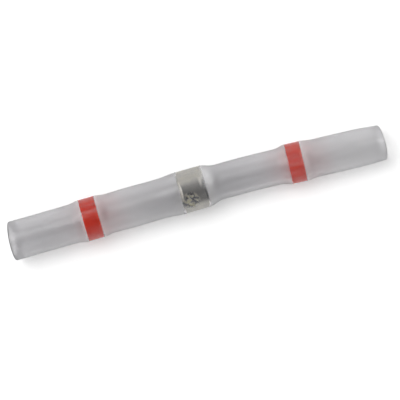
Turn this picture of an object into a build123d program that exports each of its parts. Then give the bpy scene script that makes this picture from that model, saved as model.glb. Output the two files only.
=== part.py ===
from build123d import *
import os
from math import cos, radians, sqrt

# A solder seal wire connector: a clear heat-shrink sleeve that the factory has part shrunk over
# three rings, so that it holds them. A ring of solder sits in the middle and a ring of meltable
# sealant near each end.
#
# Millimetres. The solder ring's centre is the origin and its bore runs along X. The left half lies
# along -X and is straight. The right half lies along +X and bends a little in its neck.
# Places along the sleeve are distances on its centre line from the solder ring's centre.

# The sleeve as it was extruded, which fixes how much plastic each millimetre of its length holds
SLEEVE_LENGTH = 40.0
EXTRUDED_OD = 4.2
EXTRUDED_WALL = 0.35

# Outer diameters of the sleeve where nothing holds it open
LEFT_MOUTH_OD = 4.18
LEFT_ENTRY_OD = 4.07
LEFT_NECK_OD = 4.18
RIGHT_NECK_OD = 3.76
RIGHT_ENTRY_OD = 4.0
RIGHT_MOUTH_OD = 3.96

# Rings
SOLDER_RING_OD = 3.83
SOLDER_RING_BORE = 2.8
SOLDER_RING_LENGTH = 2.84
SOLDER_BEVEL = 0.25  # of its outer edge at both ends
LEFT_SEAL_OD = 3.8
LEFT_SEAL_BORE = 2.94
LEFT_SEAL_LENGTH = 1.66
RIGHT_SEAL_OD = 3.55
RIGHT_SEAL_BORE = 2.84
RIGHT_SEAL_LENGTH = 1.56
RING_FIT = 0.01  # radial room between a ring and the sleeve shrunk on it

# Places along the centre line
SOLDER_RING_SHIFT = 0.38  # from the sleeve's mid length towards its left end
LEFT_SEAL_PITCH = 11.06
RIGHT_SEAL_PITCH = 11.13

# Slopes of the sleeve beside the rings
SEAL_SLOPE = 1.15
SOLDER_LEFT_SLOPE = 2.4
SOLDER_RIGHT_SLOPE = 1.6

# The bend in the right neck
BEND_START = 3.8
BEND_LENGTH = 4.6
BEND_ANGLE = 2.9
REST_LEAN = 13.85  # how far the bend leans below the horizontal as the sleeve lies on a table

# Mouths, where the cutter squashed the sleeve and left it off square. Squash is the share of the
# diameter lost in the plane of the bend. Skew turns the cut in that plane, and slant turns it the
# other way, so that its upper side stands out.
LEFT_MOUTH_LENGTH = 2.8
LEFT_MOUTH_SQUASH = 0.01
LEFT_MOUTH_SKEW = -2.4
LEFT_MOUTH_SLANT = 10.5
RIGHT_MOUTH_LENGTH = 3.1
RIGHT_MOUTH_SQUASH = 0.07
RIGHT_MOUTH_SKEW = 0.7
RIGHT_MOUTH_SLANT = 13.5
MOUTH_STEPS = (0.0, 0.3, 0.65, 1.0)  # shares of the mouth's length that its shape passes through

# Dents where the solder was crumpled, on the side that faces up and to -Y
DENT_RADIUS = 0.42
DENT_DEPTH = 0.13
DENT_ROWS = 3
DENT_COLUMNS = 3
DENT_PITCH = 0.56  # along the ring
DENT_TURN = 17.0  # between rows, round the ring
DENT_FIRST_TURN = 50.0  # of the lowest row above the horizontal
DENT_PLACE = -0.85  # of the first column

# What follows from these
LEFT_END = -(SLEEVE_LENGTH / 2 - SOLDER_RING_SHIFT)
RIGHT_END = SLEEVE_LENGTH / 2 + SOLDER_RING_SHIFT
LEFT_SEAL_PLACE = -LEFT_SEAL_PITCH
RIGHT_SEAL_PLACE = RIGHT_SEAL_PITCH
WALL_SECTION = EXTRUDED_OD**2 - (EXTRUDED_OD - 2 * EXTRUDED_WALL) ** 2
BEND_END = BEND_START + BEND_LENGTH
BEND_RADIUS = BEND_LENGTH / radians(BEND_ANGLE)
BEND_AXIS = Axis((BEND_START, -BEND_RADIUS, 0), (0, 0, -1))


def bore_under(outer):
    """The sleeve's bore inside an outer diameter: its wall thickens as it shrinks."""
    return sqrt(outer**2 - WALL_SECTION)


def sleeve_over(ring_od):
    """The sleeve's outer diameter where it is shrunk on a ring."""
    return sqrt((ring_od + 2 * RING_FIT) ** 2 + WALL_SECTION)


def outside(outer):
    """The sleeve's own outer diameter, for drawing its outer skin as its bore is drawn."""
    return outer


def past_bend(shape):
    """Carry a shape from a straight centre line to its place beyond the bend."""
    return (Pos(-BEND_LENGTH, 0, 0) * shape).rotate(BEND_AXIS, BEND_ANGLE)


def leaning(shape):
    """Turn the plane of the bend from flat to its lean at rest."""
    return Rot(X=REST_LEAN) * shape


def seat(place, ring_od, length, bevel=0.0):
    """Two stations between which the sleeve lies level on a ring, inside its bevels."""
    reach = length / 2 - bevel
    outer = sleeve_over(ring_od)
    return [(place - reach, outer), (place + reach, outer)]


def straight_run(stations, skin):
    """The solid of revolution under stations (place, outer diameter): level between two of one
    diameter, and a smooth slope, level at both ends, between others."""
    points = [(place, skin(outer) / 2) for place, outer in stations]
    edges = []
    for start, end in zip(points, points[1:]):
        if start[1] == end[1]:
            edges.append(Line(start, end))
        else:
            edges.append(Spline(start, end, tangents=((1, 0), (1, 0))))
    corners = [points[-1], (points[-1][0], 0), (points[0][0], 0), points[0]]
    edges += [Line(start, end) for start, end in zip(corners, corners[1:])]
    return revolve(make_face(edges), Axis.X)


def mouth(start, end, entry_od, mouth_od, squash, cut, skin):
    """The sleeve's last stretch, from a round entry to an oval mouth on a tilted cut."""
    skew, slant = cut
    sections = []
    for share in MOUTH_STEPS:
        ease = share**2
        outer = entry_od + (mouth_od - entry_od) * ease
        across = (skin(outer) - outer * squash * ease) / cos(radians(skew * ease))
        upright = (skin(outer) + outer * squash * ease) / cos(radians(slant * ease))
        oval = Plane.YZ * Ellipse(across / 2, upright / 2)
        tilt = Rot(Y=slant * ease, Z=skew * ease)
        sections.append(Pos(start + (end - start) * share, 0, 0) * tilt * oval)
    return loft(sections)


def sleeve_skin(skin):
    """The whole sleeve as a solid bar, inside its outer skin or inside its bore."""
    left_entry = LEFT_END + LEFT_MOUTH_LENGTH
    right_entry = RIGHT_END - RIGHT_MOUTH_LENGTH
    left_seal = seat(LEFT_SEAL_PLACE, LEFT_SEAL_OD, LEFT_SEAL_LENGTH)
    solder = seat(0, SOLDER_RING_OD, SOLDER_RING_LENGTH, SOLDER_BEVEL)
    right_seal = seat(RIGHT_SEAL_PLACE, RIGHT_SEAL_OD, RIGHT_SEAL_LENGTH)
    left_run = [
        (left_entry, LEFT_ENTRY_OD),
        (left_seal[0][0] - SEAL_SLOPE, LEFT_ENTRY_OD),
        *left_seal,
        (left_seal[1][0] + SEAL_SLOPE, LEFT_NECK_OD),
        (solder[0][0] - SOLDER_LEFT_SLOPE, LEFT_NECK_OD),
        *solder,
        (solder[1][0] + SOLDER_RIGHT_SLOPE, RIGHT_NECK_OD),
        (BEND_START, RIGHT_NECK_OD),
    ]
    right_run = [
        (BEND_END, RIGHT_NECK_OD),
        (right_seal[0][0] - SEAL_SLOPE, RIGHT_NECK_OD),
        *right_seal,
        (right_seal[1][0] + SEAL_SLOPE, RIGHT_ENTRY_OD),
        (right_entry, RIGHT_ENTRY_OD),
    ]
    left_cut = (LEFT_MOUTH_SKEW, -LEFT_MOUTH_SLANT)
    right_cut = (RIGHT_MOUTH_SKEW, RIGHT_MOUTH_SLANT)
    left_mouth = mouth(
        left_entry, LEFT_END, LEFT_ENTRY_OD, LEFT_MOUTH_OD, LEFT_MOUTH_SQUASH, left_cut, skin
    )
    right_mouth = mouth(
        right_entry, RIGHT_END, RIGHT_ENTRY_OD, RIGHT_MOUTH_OD, RIGHT_MOUTH_SQUASH, right_cut, skin
    )
    neck = Plane.YZ.offset(BEND_START) * Circle(skin(RIGHT_NECK_OD) / 2)
    bend = revolve(neck, BEND_AXIS, BEND_ANGLE)
    left = left_mouth + straight_run(left_run, skin)
    right = past_bend(straight_run(right_run, skin) + right_mouth)
    return left + bend + right


def heat_shrink_sleeve():
    """The clear sleeve: one wall from mouth to mouth, bulged over each ring."""
    return leaning(sleeve_skin(outside) - sleeve_skin(bore_under))


def tube_section(od, bore, length):
    """Half the section of a short tube along X, centred on the origin."""
    return Pos(0, (od + bore) / 4) * Rectangle(length, (od - bore) / 2)


def seal_ring_left():
    """The sealant ring that a wire's jacket passes on the left, cut square from a tube."""
    section = tube_section(LEFT_SEAL_OD, LEFT_SEAL_BORE, LEFT_SEAL_LENGTH)
    return Pos(LEFT_SEAL_PLACE, 0, 0) * revolve(section, Axis.X)


def seal_ring_right():
    """The sealant ring on the right, carried round by the bend."""
    section = tube_section(RIGHT_SEAL_OD, RIGHT_SEAL_BORE, RIGHT_SEAL_LENGTH)
    return leaning(past_bend(Pos(RIGHT_SEAL_PLACE, 0, 0) * revolve(section, Axis.X)))


def solder_ring():
    """The solder, a soft metal tube with a patch of shallow dents in its outside."""
    section = tube_section(SOLDER_RING_OD, SOLDER_RING_BORE, SOLDER_RING_LENGTH)
    outer_corners = section.vertices().sort_by(Axis.Y)[-2:]
    body = revolve(chamfer(outer_corners, SOLDER_BEVEL), Axis.X)
    out = SOLDER_RING_OD / 2 + DENT_RADIUS - DENT_DEPTH
    for row in range(DENT_ROWS):
        turn = Rot(X=-(DENT_FIRST_TURN + row * DENT_TURN))
        stagger = DENT_PITCH / 2 * (row % 2)
        for column in range(DENT_COLUMNS - row % 2):
            place = DENT_PLACE + stagger + column * DENT_PITCH
            body -= turn * Pos(place, -out, 0) * Sphere(DENT_RADIUS)
    return body


PIECES = {
    "heat_shrink_sleeve": heat_shrink_sleeve,
    "seal_ring_left": seal_ring_left,
    "solder_ring": solder_ring,
    "seal_ring_right": seal_ring_right,
}

os.makedirs("parts", exist_ok=True)
for name, make in PIECES.items():
    piece = make()
    piece.label = name
    export_step(piece, f"parts/{name}.step")
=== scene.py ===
from collections import namedtuple
from math import cos, dist, pi, radians, sin, sqrt, tan, tau

import bpy
from mathutils import Matrix, Vector, noise


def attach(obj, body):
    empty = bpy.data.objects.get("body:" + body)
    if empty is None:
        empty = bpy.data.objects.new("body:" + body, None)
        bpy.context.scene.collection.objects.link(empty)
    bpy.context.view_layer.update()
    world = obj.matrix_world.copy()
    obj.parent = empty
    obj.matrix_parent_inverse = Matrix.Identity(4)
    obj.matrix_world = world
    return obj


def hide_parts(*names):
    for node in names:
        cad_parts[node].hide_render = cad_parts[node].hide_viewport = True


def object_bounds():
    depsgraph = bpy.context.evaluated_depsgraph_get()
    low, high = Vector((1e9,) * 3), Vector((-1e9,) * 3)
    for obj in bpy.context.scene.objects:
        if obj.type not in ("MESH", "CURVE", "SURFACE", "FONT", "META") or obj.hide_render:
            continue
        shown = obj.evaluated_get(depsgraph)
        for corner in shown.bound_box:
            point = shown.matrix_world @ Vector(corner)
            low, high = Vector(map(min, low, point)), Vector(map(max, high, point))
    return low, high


# Looks of a solder seal wire connector: a milky heat-shrink sleeve over a solder ring and two red
# seal rings. Sizes below are millimetres, turned into metres where a mesh is made. Places are
# distances on the sleeve's centre line from the solder ring's centre.
MM = 0.001

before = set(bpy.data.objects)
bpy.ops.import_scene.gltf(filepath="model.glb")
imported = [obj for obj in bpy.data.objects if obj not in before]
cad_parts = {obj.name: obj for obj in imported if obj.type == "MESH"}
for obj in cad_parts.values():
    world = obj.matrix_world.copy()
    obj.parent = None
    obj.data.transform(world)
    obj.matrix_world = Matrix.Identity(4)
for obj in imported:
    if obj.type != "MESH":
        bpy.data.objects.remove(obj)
cad_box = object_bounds()

Ring = namedtuple("Ring", "place length od bore")
Mouth = namedtuple("Mouth", "length od squash skew slant")

# The sleeve's ends, its wall as extruded and how it bends, as in the CAD model
LEFT_END, RIGHT_END = -19.62, 20.38
EXTRUDED_OD, EXTRUDED_WALL = 4.2, 0.35
WALL_SECTION = EXTRUDED_OD**2 - (EXTRUDED_OD - 2 * EXTRUDED_WALL) ** 2
BEND_START, BEND_END = 3.8, 8.4
BEND_ANGLE = radians(2.9)
BEND_RADIUS = (BEND_END - BEND_START) / BEND_ANGLE
REST_LEAN = radians(13.85)

# The rings, as in the CAD model
SOLDER_RING = Ring(place=0.0, length=2.84, od=3.83, bore=2.8)
LEFT_SEAL = Ring(place=-11.06, length=1.66, od=3.8, bore=2.94)
RIGHT_SEAL = Ring(place=11.13, length=1.56, od=3.55, bore=2.84)
RING_FIT = 0.01
SOLDER_BEVEL = 0.25

# The sleeve's outer diameters where nothing holds it open, and the slopes beside the rings
LEFT_ENTRY_OD, LEFT_NECK_OD, RIGHT_NECK_OD, RIGHT_ENTRY_OD = 4.12, 4.18, 3.76, 4.0
LEFT_NECK_SWELL = (-6.7, 4.23)  # place and diameter of the left neck's fullest part
SEAL_SLOPE, SOLDER_LEFT_SLOPE, SOLDER_RIGHT_SLOPE = 1.15, 2.4, 1.6

# The mouths, whose cuts are a little squarer than the CAD model's
LEFT_MOUTH = Mouth(length=2.8, od=4.18, squash=0.01, skew=radians(-1.2), slant=radians(-9.0))
RIGHT_MOUTH = Mouth(length=3.1, od=3.96, squash=0.07, skew=radians(-0.9), slant=radians(8.5))


def seat(ring, before, after, bevel=0.0):
    """Four stations of the sleeve: down or up from (slope, diameter) to the ring and off it."""
    reach = ring.length / 2 - bevel
    outer = sqrt((ring.od + 2 * RING_FIT) ** 2 + WALL_SECTION)
    return [
        (ring.place - reach - before[0], before[1]),
        (ring.place - reach, outer),
        (ring.place + reach, outer),
        (ring.place + reach + after[0], after[1]),
    ]


def stations():
    """(place, outer diameter) along the sleeve, from end to end."""
    solder_slopes = (SOLDER_LEFT_SLOPE, LEFT_NECK_OD), (SOLDER_RIGHT_SLOPE, RIGHT_NECK_OD)
    return [
        (LEFT_END, LEFT_MOUTH.od),
        (LEFT_END + LEFT_MOUTH.length, LEFT_ENTRY_OD),
        *seat(LEFT_SEAL, (SEAL_SLOPE, LEFT_ENTRY_OD), (SEAL_SLOPE, LEFT_NECK_OD)),
        LEFT_NECK_SWELL,
        *seat(SOLDER_RING, *solder_slopes, SOLDER_BEVEL),
        *seat(RIGHT_SEAL, (SEAL_SLOPE, RIGHT_NECK_OD), (SEAL_SLOPE, RIGHT_ENTRY_OD)),
        (RIGHT_END - RIGHT_MOUTH.length, RIGHT_ENTRY_OD),
        (RIGHT_END, RIGHT_MOUTH.od),
    ]


STATIONS = stations()


def smooth(share):
    """A step from 0 to 1 that is level at both ends."""
    share = min(max(share, 0.0), 1.0)
    return share * share * (3 - 2 * share)


def outer_diameter(place):
    """The sleeve's outer diameter at a place on the centre line."""
    for (start, first), (end, last) in zip(STATIONS, STATIONS[1:]):
        if place <= end:
            return first + (last - first) * smooth((place - start) / (end - start))
    return STATIONS[-1][1]


def bore_diameter(place):
    """The sleeve's bore there: its wall thickens as it shrinks."""
    return sqrt(outer_diameter(place) ** 2 - WALL_SECTION)


def on_line(place, across, upright):
    """The point, in metres, at an offset from the centre line, bent and leaned as the part lies."""
    turn = min(max((place - BEND_START) / BEND_RADIUS, 0.0), BEND_ANGLE)
    ahead = place - BEND_START - turn * BEND_RADIUS
    out = across + BEND_RADIUS
    x = BEND_START + ahead * cos(turn) + out * sin(turn)
    y = -BEND_RADIUS - ahead * sin(turn) + out * cos(turn)
    lean_y = y * cos(REST_LEAN) - upright * sin(REST_LEAN)
    lean_z = y * sin(REST_LEAN) + upright * cos(REST_LEAN)
    return Vector((x, lean_y, lean_z)) * MM


def mesh_object(name, points, faces):
    """A smooth mesh piece from its points and faces."""
    mesh = bpy.data.meshes.new(name)
    mesh.from_pydata(points, [], faces)
    mesh.validate()
    mesh.polygons.foreach_set("use_smooth", [True] * len(mesh.polygons))
    mesh.update()
    piece = bpy.data.objects.new(name, mesh)
    bpy.context.scene.collection.objects.link(piece)
    return piece


def keep_values(piece, name, values):
    """Keep a value at each of a mesh's points, for its material."""
    piece.data.attributes.new(name, "FLOAT", "POINT").data.foreach_set("value", values)


def closed_tube(name, rows):
    """A tube's whole skin from rows of points round the centre line: each row joins the next, and
    the last joins the first."""
    count = len(rows[0])
    faces = []
    for i in range(len(rows)):
        here, there = i * count, ((i + 1) % len(rows)) * count
        for j in range(count):
            k = (j + 1) % count
            faces.append((here + j, here + k, there + k, there + j))
    return mesh_object(name, [point for row in rows for point in row], faces)


# A spot on a piece: its middle along the centre line and, in degrees, round it, and half its width
# both ways
Spot = namedtuple("Spot", "place turn half_length half_turn")


def turned_from(angle, turn):
    """How far an angle is past a turn in degrees: at most half way round, either way."""
    return (angle - radians(turn) + pi) % tau - pi


def off_spot(place, angle, spot):
    """How far a point is from a spot's middle, in half widths of the spot."""
    along = (place - spot.place) / spot.half_length
    around = turned_from(angle, spot.turn) / radians(spot.half_turn)
    return sqrt(along**2 + around**2)


# The sleeve's mesh: how fine it is and how far its rims are rounded, with a row where the rounding
# is part done
SLEEVE_STEPS = 300
SLEEVE_SIDES = 96
RIM_ROUND = 0.05
RIM_PART = 0.3 * RIM_ROUND

# The shrunk wall's unevenness: its height, its waves per millimetre along the sleeve, how far its
# noise is carried round, and how fine and how strong each layer of noise is
RIPPLE = 0.004
RIPPLE_ALONG = 0.22
RIPPLE_ROUND = 0.55
RIPPLE_LAYERS = ((1.0, 1.4), (3.1, 0.6))

# What the sleeve's material reads: how far along it a point lies, and how whitened by a painted
# highlight on a fold
SHARE, FOLD_HIGHLIGHT = "share_of_length", "fold_highlight"

# Painted highlights on folds and dents: how milky, and where
FOLD_HIGHLIGHTS = (
    (0.4, Spot(1.8, 55, 0.95, 58)),
    (0.06, Spot(-1.8, 30, 0.7, 40)),
    (0.09, Spot(12.2, 60, 0.7, 80)),
)


def ripple(place, angle):
    """How far the shrunk wall stands out of true, the same on both of its skins."""
    at = Vector((place * RIPPLE_ALONG, cos(angle) * RIPPLE_ROUND, sin(angle) * RIPPLE_ROUND))
    return RIPPLE * sum(noise.noise(at * fine) * strong for fine, strong in RIPPLE_LAYERS)


def share_of_length(place):
    """A place as a share of the sleeve's length."""
    return (place - LEFT_END) / (RIGHT_END - LEFT_END)


def mouth_shape(place):
    """(squash, skew, slant) at a place: the mouth's own, eased in along it."""
    for end, inward, mouth in ((LEFT_END, 1, LEFT_MOUTH), (RIGHT_END, -1, RIGHT_MOUTH)):
        ease = 1 - (place - end) * inward / mouth.length
        if ease > 0:
            ease = min(ease, 1.0) ** 2
            return mouth.squash * ease, mouth.skew * ease, mouth.slant * ease
    return 0.0, 0.0, 0.0


def sleeve_row(place, diameter_at, inset=0.0):
    """One ring of the sleeve's points, on its outer skin or in its bore."""
    squash, skew, slant = mouth_shape(place)
    lost = outer_diameter(place) * squash
    row = []
    for j in range(SLEEVE_SIDES):
        angle = tau * j / SLEEVE_SIDES
        away = ripple(place, angle) - inset
        across = ((diameter_at(place) - lost) / 2 + away) * cos(angle)
        upright = ((diameter_at(place) + lost) / 2 + away) * sin(angle)
        tilted = place - across * tan(skew) + upright * tan(slant)
        row.append(on_line(tilted, across, upright))
    return row


def rim_rows(end, inward):
    """Rows round a mouth's rim, as (place, diameter, inset), from the outer skin to the bore."""
    start = end + inward * RIM_PART
    outer = [(start, outer_diameter, RIM_PART), (end, outer_diameter, RIM_ROUND)]
    bore = [(end, bore_diameter, -RIM_ROUND), (start, bore_diameter, -RIM_PART)]
    return outer + bore


def fold_highlight(place, angle):
    """How much a painted highlight on a fold or dent whitens a point of the sleeve."""
    return sum(milk * smooth(1 - off_spot(place, angle, spot)) for milk, spot in FOLD_HIGHLIGHTS)


def sleeve():
    """The sleeve's wall: outer skin from left to right, rounded rim, bore back, rounded rim."""
    length = RIGHT_END - LEFT_END - 2 * RIM_ROUND
    places = [LEFT_END + RIM_ROUND + length * i / SLEEVE_STEPS for i in range(SLEEVE_STEPS + 1)]
    rows = [(place, outer_diameter, 0.0) for place in places] + rim_rows(RIGHT_END, -1)
    rows += [(place, bore_diameter, 0.0) for place in places[::-1]] + rim_rows(LEFT_END, 1)[::-1]
    piece = closed_tube("sleeve_skin", [sleeve_row(*row) for row in rows])
    points = [(row[0], tau * j / SLEEVE_SIDES) for row in rows for j in range(SLEEVE_SIDES)]
    keep_values(piece, SHARE, [share_of_length(place) for place, _ in points])
    keep_values(piece, FOLD_HIGHLIGHT, [fold_highlight(*point) for point in points])
    return piece


# The rings' meshes: how fine they are, how round the rims are, and how far the outside reaches
# into the sleeve's skin, so that the two touch
RING_SIDES = 192
RIM_STEPS = 5
SEAL_STEP, SOLDER_STEP = 0.08, 0.05
SEAL_OUTER_RIM, SEAL_BORE_RIM, SOLDER_BORE_RIM = 0.03, 0.05, 0.1
SEATED = 0.02

# The unevenness of a cut ring of sealant: its height, and its noise's scale along and round it
SEAL_UNEVEN = 0.004
SEAL_ALONG, SEAL_ROUND = 0.8, 0.9


def ring_outline(ring, outer_rim, bore_rim):
    """(along, radius) points round a ring's wall, with rounded rims."""
    corners = (
        (1, ring.bore / 2 + bore_rim, bore_rim, -pi / 2),
        (1, ring.od / 2 - outer_rim, outer_rim, 0.0),
        (-1, ring.od / 2 - outer_rim, outer_rim, pi / 2),
        (-1, ring.bore / 2 + bore_rim, bore_rim, pi),
    )
    outline = []
    for side, centre_r, rim, first in corners:
        centre_x = side * (ring.length / 2 - rim)
        for i in range(RIM_STEPS + 1):
            angle = first + pi / 2 * i / RIM_STEPS
            outline.append((centre_x + rim * cos(angle), centre_r + rim * sin(angle)))
    return outline


def refined(outline, step):
    """The outline with its long straight stretches divided."""
    fine = []
    for start, end in zip(outline, outline[1:] + outline[:1]):
        count = max(1, round(dist(start, end) / step))
        for i in range(count):
            fine.append(tuple(a + (b - a) * i / count for a, b in zip(start, end)))
    return fine


def lathe(name, ring, outline, shift):
    """A ring's mesh: its outline turned about the centre line, each point moved out by shift."""
    rows = []
    for along, radius in outline:
        row = []
        for j in range(RING_SIDES):
            angle = tau * j / RING_SIDES
            out = radius + shift(along, radius, angle)
            row.append(on_line(ring.place + along, out * cos(angle), out * sin(angle)))
        rows.append(row)
    return closed_tube(name, rows)


def seal_shift(along, _, angle):
    """The slight unevenness of a cut ring of sealant."""
    at = Vector((along * SEAL_ALONG, cos(angle) * SEAL_ROUND, sin(angle) * SEAL_ROUND))
    return SEAL_UNEVEN * noise.noise(at) + SEATED


def seal(name, ring):
    """A ring of sealant."""
    outline = refined(ring_outline(ring, SEAL_OUTER_RIM, SEAL_BORE_RIM), SEAL_STEP)
    return lathe(name, ring, outline, seal_shift)


# The solder's crumpled patch: where it is, how far out it is fully crumpled and how wide its edge
# is from there, both in its half widths, and how deep its creases are at most
PATCH = Spot(-0.45, 111, 0.95, 30)
PATCH_CORE, PATCH_EDGE = 0.6, 0.5
CRUMPLE = 0.13

# The creases' noise: its fineness per millimetre, the radius at which it is read round the ring,
# and its strength. A coarser noise bends them: how far, how fine it is beside theirs, and how far
# apart its readings for the two directions are.
CREASES = 3.6
CREASE_RADIUS = 1.9
CREASE_STRENGTH = 1.6
CREASE_BEND, BEND_FINENESS = 0.8, 0.6
SECOND_READING = Vector((7, 0, 0))
BORE_MARGIN = 0.2  # of the wall beside the bore, which isn't creased

# What the solder's material reads: how light the metal is, which is painted light and shade, and how
# much yellowish flux lies on it, which also paints glints
TONE, FLUX_AND_GLINT = "tone", "flux_and_glint"

# The metal's painted tone: light as a painted reflection of the bright room, and dark on a band that
# is a painted reflection of the grey overhead, and where that band is: its middle, half its width and
# the width of its edge, in degrees
ROOM_REFLECTION_TONE, DARK_REFLECTION_TONE = 0.88, 0.22
DARK_BAND_TURN, DARK_BAND_HALF_TURN, DARK_BAND_EDGE = 88, 23, 26

# A painted highlight on its left rim, painted shade on its right rim and a painted highlight streak
# beside that: tone, how steep the edge of the spot is, and the spot itself
RIM_HIGHLIGHTS_AND_SHADE = (
    (1.0, 5.0, Spot(-1.42, 74, 0.36, 40)),
    (0.0, 2.5, Spot(1.42, 88, 0.26, 50)),
    (0.9, 1.1, Spot(0.95, 50, 0.26, 32)),
)

# On the crumpled patch, the painted glint tone and the yellowish flux of a crest, the flux partly a
# painted glint too, and how much of each a crease loses, which paints shade into the creases
CREST_GLINT_TONE, CREASE_SHADE_LOSS = 0.75, 0.95
CREST_FLUX_GLINT, CREASE_FLUX_GLINT_LOSS = 1.3, 2.3


def patch_weight(along, angle):
    """1 in the middle of the crumpled patch, falling to 0 at its edge."""
    return 1 - smooth((off_spot(along, angle, PATCH) - PATCH_CORE) / PATCH_EDGE)


def crease_depth(along, angle):
    """How deep the crumpled solder is creased: 0 on a crest, 1 in the deepest creases."""
    at = Vector((along, cos(angle) * CREASE_RADIUS, sin(angle) * CREASE_RADIUS)) * CREASES
    coarse = at * BEND_FINENESS
    bend = Vector((noise.noise(coarse), noise.noise(coarse + SECOND_READING), 0))
    return min(max(0.5 + CREASE_STRENGTH * noise.noise(at + bend * CREASE_BEND), 0.0), 1.0)


def solder_shift(along, radius, angle):
    """The solder's creased outside. Its bore stays round."""
    if radius < SOLDER_RING.bore / 2 + BORE_MARGIN:
        return 0.0
    return SEATED - CRUMPLE * patch_weight(along, angle) * crease_depth(along, angle)


def tone(along, angle):
    """How light the metal is, all painted light: reflections of room and overhead, rim highlights and
    shade, crease shade and crest glints.
    """
    past_dark_band = abs(turned_from(angle, DARK_BAND_TURN)) - radians(DARK_BAND_HALF_TURN)
    plain = DARK_REFLECTION_TONE + (ROOM_REFLECTION_TONE - DARK_REFLECTION_TONE) * smooth(past_dark_band / radians(DARK_BAND_EDGE))
    for painted_tone, steep, spot in RIM_HIGHLIGHTS_AND_SHADE:
        plain += (painted_tone - plain) * smooth(steep * (1 - off_spot(along, angle, spot)))
    creased = CREST_GLINT_TONE - CREASE_SHADE_LOSS * crease_depth(along, angle)
    return max(plain + (creased - plain) * patch_weight(along, angle), 0.0)


def flux_and_glint(along, angle):
    """How much yellowish flux lies on the metal: on the crests of the crumpled patch, where it also
    paints glints.
    """
    creased = CREST_FLUX_GLINT - CREASE_FLUX_GLINT_LOSS * crease_depth(along, angle)
    return patch_weight(along, angle) * smooth(creased)


def solder():
    """The solder ring, with what its material reads."""
    outline = refined(ring_outline(SOLDER_RING, SOLDER_BEVEL, SOLDER_BORE_RIM), SOLDER_STEP)
    piece = lathe("solder", SOLDER_RING, outline, solder_shift)
    points = [(along, tau * j / RING_SIDES) for along, _ in outline for j in range(RING_SIDES)]
    keep_values(piece, TONE, [tone(*point) for point in points])
    keep_values(piece, FLUX_AND_GLINT, [flux_and_glint(*point) for point in points])
    return piece


def new_material(name):
    """A new material, its node tree and its Principled shader."""
    material = bpy.data.materials.new(name)
    material.use_nodes = True
    tree = material.node_tree
    return material, tree, tree.nodes["Principled BSDF"]


def feed(tree, socket, value):
    """Give a socket a constant or another node's output."""
    if isinstance(value, bpy.types.NodeSocket):
        tree.links.new(value, socket)
    else:
        socket.default_value = value


def grain(tree, scale, detail, stretch=(1, 1, 1)):
    """Noise in the part's own frame, stretched along its axes."""
    place = tree.nodes.new("ShaderNodeTexCoord")
    mapping = tree.nodes.new("ShaderNodeMapping")
    mapping.inputs["Scale"].default_value = stretch
    texture = tree.nodes.new("ShaderNodeTexNoise")
    texture.inputs["Scale"].default_value = scale
    texture.inputs["Detail"].default_value = detail
    tree.links.new(place.outputs["Object"], mapping.inputs["Vector"])
    tree.links.new(mapping.outputs["Vector"], texture.inputs["Vector"])
    return texture.outputs["Fac"]


def grey(value):
    """A grey, or a plain value where a ramp stands for one."""
    return (value,) * 3


def ramp(tree, value, stops):
    """Colours along a value: stops are (position, colour)."""
    node = tree.nodes.new("ShaderNodeValToRGB")
    tree.links.new(value, node.inputs["Fac"])
    while len(node.color_ramp.elements) < len(stops):
        node.color_ramp.elements.new(0.5)
    for element, (position, colour) in zip(node.color_ramp.elements, stops):
        element.position = position
        element.color = (*colour, 1.0)
    return node.outputs["Color"]


def attribute(tree, name):
    """A value that the mesh carries."""
    node = tree.nodes.new("ShaderNodeAttribute")
    node.attribute_name = name
    return node.outputs["Fac"]


def maths(tree, operation, first, second):
    """Two numbers or outputs added, subtracted, multiplied or compared."""
    node = tree.nodes.new("ShaderNodeMath")
    node.operation = operation
    feed(tree, node.inputs[0], first)
    feed(tree, node.inputs[1], second)
    return node.outputs[0]


def mixed(tree, amount, first, second, blend="MIX"):
    """Two colours mixed by an amount from 0 to 1, each of them a constant or an output."""
    node = tree.nodes.new("ShaderNodeMix")
    node.data_type = "RGBA"
    node.blend_type = blend
    feed(tree, node.inputs["Factor"], amount)
    feed(tree, node.inputs["A"], first)
    feed(tree, node.inputs["B"], second)
    return node.outputs["Result"]


def bump(tree, shader, height, strength, distance):
    """Fine relief of a material, its distance in millimetres."""
    node = tree.nodes.new("ShaderNodeBump")
    node.inputs["Strength"].default_value = strength
    node.inputs["Distance"].default_value = distance * MM
    tree.links.new(height, node.inputs["Height"])
    tree.links.new(node.outputs["Normal"], shader.inputs["Normal"])


# How the sleeve's plastic bends light and how it dims it on its way through, per metre, for red,
# green and blue
SLEEVE_IOR = 1.48
SLEEVE_DIMMING = (375.0, 382.0, 367.0)

# Its roughness, and how far inside each ring's ends it lies on the ring and is smoother
SLEEVE_ROUGHNESS, OVER_RING_ROUGHNESS = 0.3, 0.1
LIES_FROM = ((LEFT_SEAL, 0.06), (SOLDER_RING, 0.2), (RIGHT_SEAL, 0.06))

# Its tints: its own, in the necks, a painted red glow beside a red ring, and painted shadow at the
# lips
CLEAR = (0.985, 0.983, 0.987)
LEFT_CLEAR = (0.942, 0.939, 0.946)
NECK = (0.95, 0.947, 0.953)
DARK_NECK = (0.86, 0.857, 0.865)
RED_GLOW = (0.97, 0.875, 0.88)
FAINT_RED_GLOW = (0.92, 0.885, 0.892)
# The lips' dark tints are painted shadow: the floor's shadow as seen through the wall
LEFT_LIP_SHADOW = (0.5, 0.495, 0.505)
RIGHT_LIP_SHADOW = (0.77, 0.765, 0.775)
LIP_SHADOW_REACH = 1.1

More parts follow.
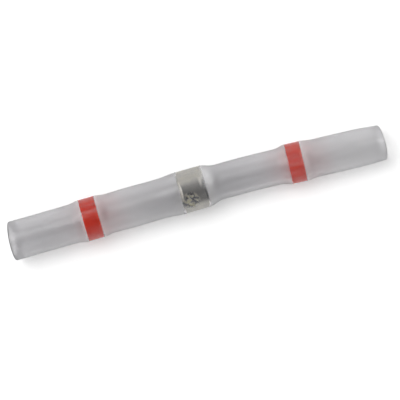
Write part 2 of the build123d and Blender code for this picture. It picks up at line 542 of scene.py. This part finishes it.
# Where they are: a ring, its left (-1) or right (1) side, and tints by the distance from that end
# Beside the seals the pink tints are a painted red glow, the red rings' light in the plastic
TINTS = (
    (LEFT_SEAL, -1, (2.04, LEFT_CLEAR), (0.3, FAINT_RED_GLOW), (0.0, CLEAR)),
    (LEFT_SEAL, 1, (0.0, CLEAR), (0.3, RED_GLOW), (3.4, NECK)),
    (SOLDER_RING, -1, (0.15, DARK_NECK), (0.0, CLEAR)),
    (SOLDER_RING, 1, (0.0, CLEAR), (0.2, NECK), (1.2, DARK_NECK)),
    (RIGHT_SEAL, -1, (2.72, NECK), (0.3, RED_GLOW), (0.0, CLEAR)),
    (RIGHT_SEAL, 1, (0.0, CLEAR), (0.3, RED_GLOW), (3.4, CLEAR)),
)

# They come in patches: the patches' noise, and how full the tint is along it
BLOTCH_SCALE, BLOTCH_DETAIL = 450.0, 2.0
BLOTCHES = ((0.36, grey(0.5)), (0.58, grey(1.0)))

# How milky the plastic is: past the seals, in the necks, and in the creases beside a seal, where its
# whiteness is a painted highlight. Then for each ring, from left to right: before it, in its left
# crease, over it, in its right crease and after it.
LEFT_MILK, RIGHT_MILK, NECK_MILK, CREASE_HIGHLIGHT_MILK = 0.05, 0.085, 0.035, 0.19
MILK = (
    (LEFT_SEAL, LEFT_MILK, CREASE_HIGHLIGHT_MILK, 0.004, CREASE_HIGHLIGHT_MILK, NECK_MILK),
    (SOLDER_RING, NECK_MILK, NECK_MILK, 0.0, NECK_MILK, NECK_MILK),
    (RIGHT_SEAL, NECK_MILK, NECK_MILK, 0.028, CREASE_HIGHLIGHT_MILK, RIGHT_MILK),
)

# Where a crease begins and ends, from the ring's end, and where it has faded, left and right
CREASE = (0.06, 0.3)
LEFT_FADE, RIGHT_FADE = 0.36, 0.6

# The right mouth's rim, whitened by the cutter, and where that begins and is full, from the mouth
CUT_MILK = 0.3
CUT_EDGE = (0.16, 0.06)

# Faint streaks along the sleeve: their noise, how milky they are along it, and their relief, as
# strength and millimetres
STREAK_SCALE, STREAK_DETAIL, STREAK_STRETCH = 2000.0, 3.0, (0.1, 1, 1)
STREAKS = ((0.48, grey(0.0)), (0.7, grey(0.075)))
STREAK_RELIEF = (0.25, 0.03)


def along_sleeve(tree, stops):
    """A value or colour along the sleeve: stops are (place, colour)."""
    shares = [(share_of_length(place), colour) for place, colour in sorted(stops)]
    return ramp(tree, attribute(tree, SHARE), shares)


def beside(ring, side, stops):
    """Stops given by their distance from a ring's end, on its left (-1) or right (1) side."""
    end = ring.place + side * ring.length / 2
    return [(end + side * distance, value) for distance, value in stops]


def tint_stops():
    """The plastic's tint from mouth to mouth."""
    # Painted shadow at both lips
    stops = [(LEFT_END, LEFT_LIP_SHADOW), (LEFT_END + LIP_SHADOW_REACH, LEFT_CLEAR)]
    for ring, side, *tints in TINTS:
        stops += beside(ring, side, tints)
    return stops + [(RIGHT_END - LIP_SHADOW_REACH, CLEAR), (RIGHT_END, RIGHT_LIP_SHADOW)]


def milk_stops():
    """The plastic's milkiness from mouth to mouth."""
    first, last = CREASE
    begins, full = CUT_EDGE
    stops = [(LEFT_END, LEFT_MILK)]
    for ring, before, left, over, right, after in MILK:
        stops += beside(ring, -1, [(LEFT_FADE, before), (last, left), (first, left), (0.0, over)])
        stops += beside(ring, 1, [(0.0, over), (first, right), (last, right), (RIGHT_FADE, after)])
    stops += [(RIGHT_END - begins, RIGHT_MILK), (RIGHT_END - full, CUT_MILK)]
    return [(place, grey(milk)) for place, milk in stops]


def roughness_stops():
    """The plastic's roughness from mouth to mouth: smoother where it lies on a ring."""
    stops = []
    for ring, lies_from in LIES_FROM:
        edge = [(0.0, grey(SLEEVE_ROUGHNESS)), (-lies_from, grey(OVER_RING_ROUGHNESS))]
        stops += beside(ring, -1, edge) + beside(ring, 1, edge)
    return stops


def sleeve_material():
    """Smoky clear polyolefin, with a painted red glow beside the red rings, painted shadow at its
    lips and painted highlights where it creases and folds.
    """
    material, tree, shader = new_material("clear_polyolefin")
    blotches = ramp(tree, grain(tree, BLOTCH_SCALE, BLOTCH_DETAIL), BLOTCHES)
    tint = mixed(tree, blotches, (*NECK, 1), along_sleeve(tree, tint_stops()))
    tree.links.new(tint, shader.inputs["Base Color"])
    tree.links.new(along_sleeve(tree, roughness_stops()), shader.inputs["Roughness"])
    shader.inputs["IOR"].default_value = SLEEVE_IOR
    streaks = grain(tree, STREAK_SCALE, STREAK_DETAIL, STREAK_STRETCH)
    milk = maths(tree, "ADD", along_sleeve(tree, milk_stops()), attribute(tree, FOLD_HIGHLIGHT))
    milk = maths(tree, "ADD", milk, ramp(tree, streaks, STREAKS))
    tree.links.new(maths(tree, "SUBTRACT", 1.0, milk), shader.inputs["Transmission Weight"])
    bump(tree, shader, streaks, *STREAK_RELIEF)
    # It absorbs its density times what its colour lacks of white
    absorption = tree.nodes.new("ShaderNodeVolumeAbsorption")
    density = 2 * max(SLEEVE_DIMMING)
    absorption.inputs["Color"].default_value = (*[1 - one / density for one in SLEEVE_DIMMING], 1)
    absorption.inputs["Density"].default_value = density
    tree.links.new(absorption.outputs[0], tree.nodes["Material Output"].inputs["Volume"])
    return material


# The sealant: its mottling's noise, its reds along that, their relief, its roughness and shine
MOTTLE_SCALE, MOTTLE_DETAIL = 1400.0, 2.0
REDS = ((0.3, (0.97, 0.028, 0.004)), (0.75, (1.0, 0.042, 0.007)))
MOTTLE_RELIEF = (0.2, 0.02)
SEAL_ROUGHNESS, SEAL_SHINE = 0.42, 0.1


def sealant_material():
    """Red hot-melt sealant, faintly mottled."""
    material, tree, shader = new_material("red_sealant")
    mottle = grain(tree, MOTTLE_SCALE, MOTTLE_DETAIL)
    tree.links.new(ramp(tree, mottle, REDS), shader.inputs["Base Color"])
    shader.inputs["Roughness"].default_value = SEAL_ROUGHNESS
    shader.inputs["Specular IOR Level"].default_value = SEAL_SHINE
    bump(tree, shader, mottle, *MOTTLE_RELIEF)
    return material


# The solder: its film's noise, that film's shades, the metal's colours from its darkest tone to its
# lightest, which paint its light and shade, the colour of the flux and its painted glints, the film's
# relief, and how metallic and how rough it is
FILM_SCALE, FILM_DETAIL = 1700.0, 4.0
FILM_SHADES = ((0.3, (0.85, 0.85, 0.87)), (0.75, (1.0, 0.99, 0.96)))
METAL_TONES = ((0.0, (0.07, 0.07, 0.08)), (1.0, (0.92, 0.9, 0.82)))
FLUX_GLINT_COLOUR = (0.64, 0.61, 0.45, 1)
FILM_RELIEF = (0.4, 0.03)
SOLDER_METALLIC, SOLDER_ROUGHNESS = 0.7, 0.5


def solder_material():
    """Dull grey solder with painted reflections and a painted dark band on one side, and painted
    crease shade, glints and yellowish flux on its crumpled patch.
    """
    material, tree, shader = new_material("dull_solder")
    film = grain(tree, FILM_SCALE, FILM_DETAIL)
    metal = ramp(tree, attribute(tree, TONE), METAL_TONES)
    stained = mixed(tree, attribute(tree, FLUX_AND_GLINT), metal, FLUX_GLINT_COLOUR)
    filmed = mixed(tree, 1.0, stained, ramp(tree, film, FILM_SHADES), "MULTIPLY")
    tree.links.new(filmed, shader.inputs["Base Color"])
    shader.inputs["Metallic"].default_value = SOLDER_METALLIC
    shader.inputs["Roughness"].default_value = SOLDER_ROUGHNESS
    bump(tree, shader, film, *FILM_RELIEF)
    return material


def dress(piece, node, material):
    """Let a piece stand for its CAD node, in that node's slot, on the part's one body."""
    piece.data.materials.append(material)
    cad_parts[node].data.materials.clear()
    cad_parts[node].data.materials.append(material)
    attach(piece, "root")
    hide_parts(node)


def build_part():
    """All four pieces, dressed."""
    sealant = sealant_material()
    dress(seal("seal_left", LEFT_SEAL), "seal_ring_left", sealant)
    dress(seal("seal_right", RIGHT_SEAL), "seal_ring_right", sealant)
    dress(solder(), "solder_ring", solder_material())
    dress(sleeve(), "heat_shrink_sleeve", sleeve_material())


# The photograph's view
CAMERA_AZIMUTH = radians(-15.97)
CAMERA_ELEVATION = radians(90.0)
CAMERA_DISTANCE = 0.8  # metres
CLIP_SPAN = 100  # how many times nearer and farther than that it sees
SENSOR_WIDTH = 36.0
IMAGE_SIDE = 400.0  # pixels
RING_PIXEL = (192.8, 189.5)  # the solder ring's centre in the photograph
PIXEL_SIZE = 0.1046 * MM  # at the solder ring


def camera():
    """The photograph's view, framed so that the solder ring falls on its own pixel."""
    data = bpy.data.cameras.new("camera")
    eye = bpy.data.objects.new("camera", data)
    bpy.context.scene.collection.objects.link(eye)
    bpy.context.scene.camera = eye
    back = Vector((
        sin(CAMERA_AZIMUTH) * cos(CAMERA_ELEVATION),
        -cos(CAMERA_AZIMUTH) * cos(CAMERA_ELEVATION),
        sin(CAMERA_ELEVATION),
    ))
    right = Vector((cos(CAMERA_AZIMUTH), sin(CAMERA_AZIMUTH), 0))
    up = back.cross(right)
    aim = right * (IMAGE_SIDE / 2 - RING_PIXEL[0]) * PIXEL_SIZE
    aim += up * (RING_PIXEL[1] - IMAGE_SIDE / 2) * PIXEL_SIZE
    turned = Matrix((right, up, back)).transposed().to_4x4()
    eye.matrix_world = Matrix.Translation(aim + back * CAMERA_DISTANCE) @ turned
    data.sensor_width = SENSOR_WIDTH
    data.lens = SENSOR_WIDTH * CAMERA_DISTANCE / (IMAGE_SIDE * PIXEL_SIZE)
    data.clip_start = CAMERA_DISTANCE / CLIP_SPAN
    data.clip_end = CAMERA_DISTANCE * CLIP_SPAN


# Light. The world is white but for a grey patch overhead, where the camera stands.
AMBIENT = 0.78
OVERHEAD = 0.3
OVERHEAD_EDGE = (0.6, 0.9)  # height on the unit sphere where the patch begins and is full
KEY_STRENGTH = 1.7
KEY_SPREAD = radians(42.0)
KEY_DIRECTION = (-0.34, 0.42, 1.0)

# The floor, in metres, and what a camera sees added to it, to make it white
FLOOR_SIDE = 3.0
FLOOR_WHITE = 0.97
FLOOR_ROUGHNESS = 0.9
FLOOR_GLOW = 0.18


def lit_world():
    """Soft white light from all round, with the grey patch overhead."""
    world = bpy.data.worlds.new("studio")
    bpy.context.scene.world = world
    world.use_nodes = True
    tree = world.node_tree
    place = tree.nodes.new("ShaderNodeTexCoord")
    parts = tree.nodes.new("ShaderNodeSeparateXYZ")
    tree.links.new(place.outputs["Generated"], parts.inputs["Vector"])
    begins, full = OVERHEAD_EDGE
    colour = ramp(tree, parts.outputs["Z"], ((begins, grey(AMBIENT)), (full, grey(OVERHEAD))))
    tree.links.new(colour, tree.nodes["Background"].inputs["Color"])


def key_light():
    """A broad light from behind and the left."""
    data = bpy.data.lights.new("key", "SUN")
    data.energy = KEY_STRENGTH
    data.angle = KEY_SPREAD
    lamp = bpy.data.objects.new("key", data)
    bpy.context.scene.collection.objects.link(lamp)
    lamp.rotation_mode = "QUATERNION"
    lamp.rotation_quaternion = Vector(KEY_DIRECTION).to_track_quat("Z", "Y")
    lamp.visible_glossy = False


def floor():
    """A plain pale floor that the part lies on, white to the camera and through the plastic."""
    half, level = FLOOR_SIDE / 2, cad_box[0].z
    corners = [(-half, -half, level), (half, -half, level), (half, half, level), (-half, half, level)]
    piece = mesh_object("floor", corners, [(0, 1, 2, 3)])
    material, tree, shader = new_material("pale_floor")
    shader.inputs["Base Color"].default_value = (*grey(FLOOR_WHITE), 1)
    shader.inputs["Roughness"].default_value = FLOOR_ROUGHNESS
    shader.inputs["Specular IOR Level"].default_value = 0.0
    shader.inputs["Emission Color"].default_value = (1, 1, 1, 1)
    rays = tree.nodes.new("ShaderNodeLightPath").outputs
    seen = maths(tree, "MAXIMUM", rays["Is Camera Ray"], rays["Is Transmission Ray"])
    glow = maths(tree, "MULTIPLY", seen, FLOOR_GLOW)
    tree.links.new(glow, shader.inputs["Emission Strength"])
    piece.data.materials.append(material)


camera()
build_part()
lit_world()
key_light()
floor()
bpy.context.scene.view_settings.view_transform = "Standard"
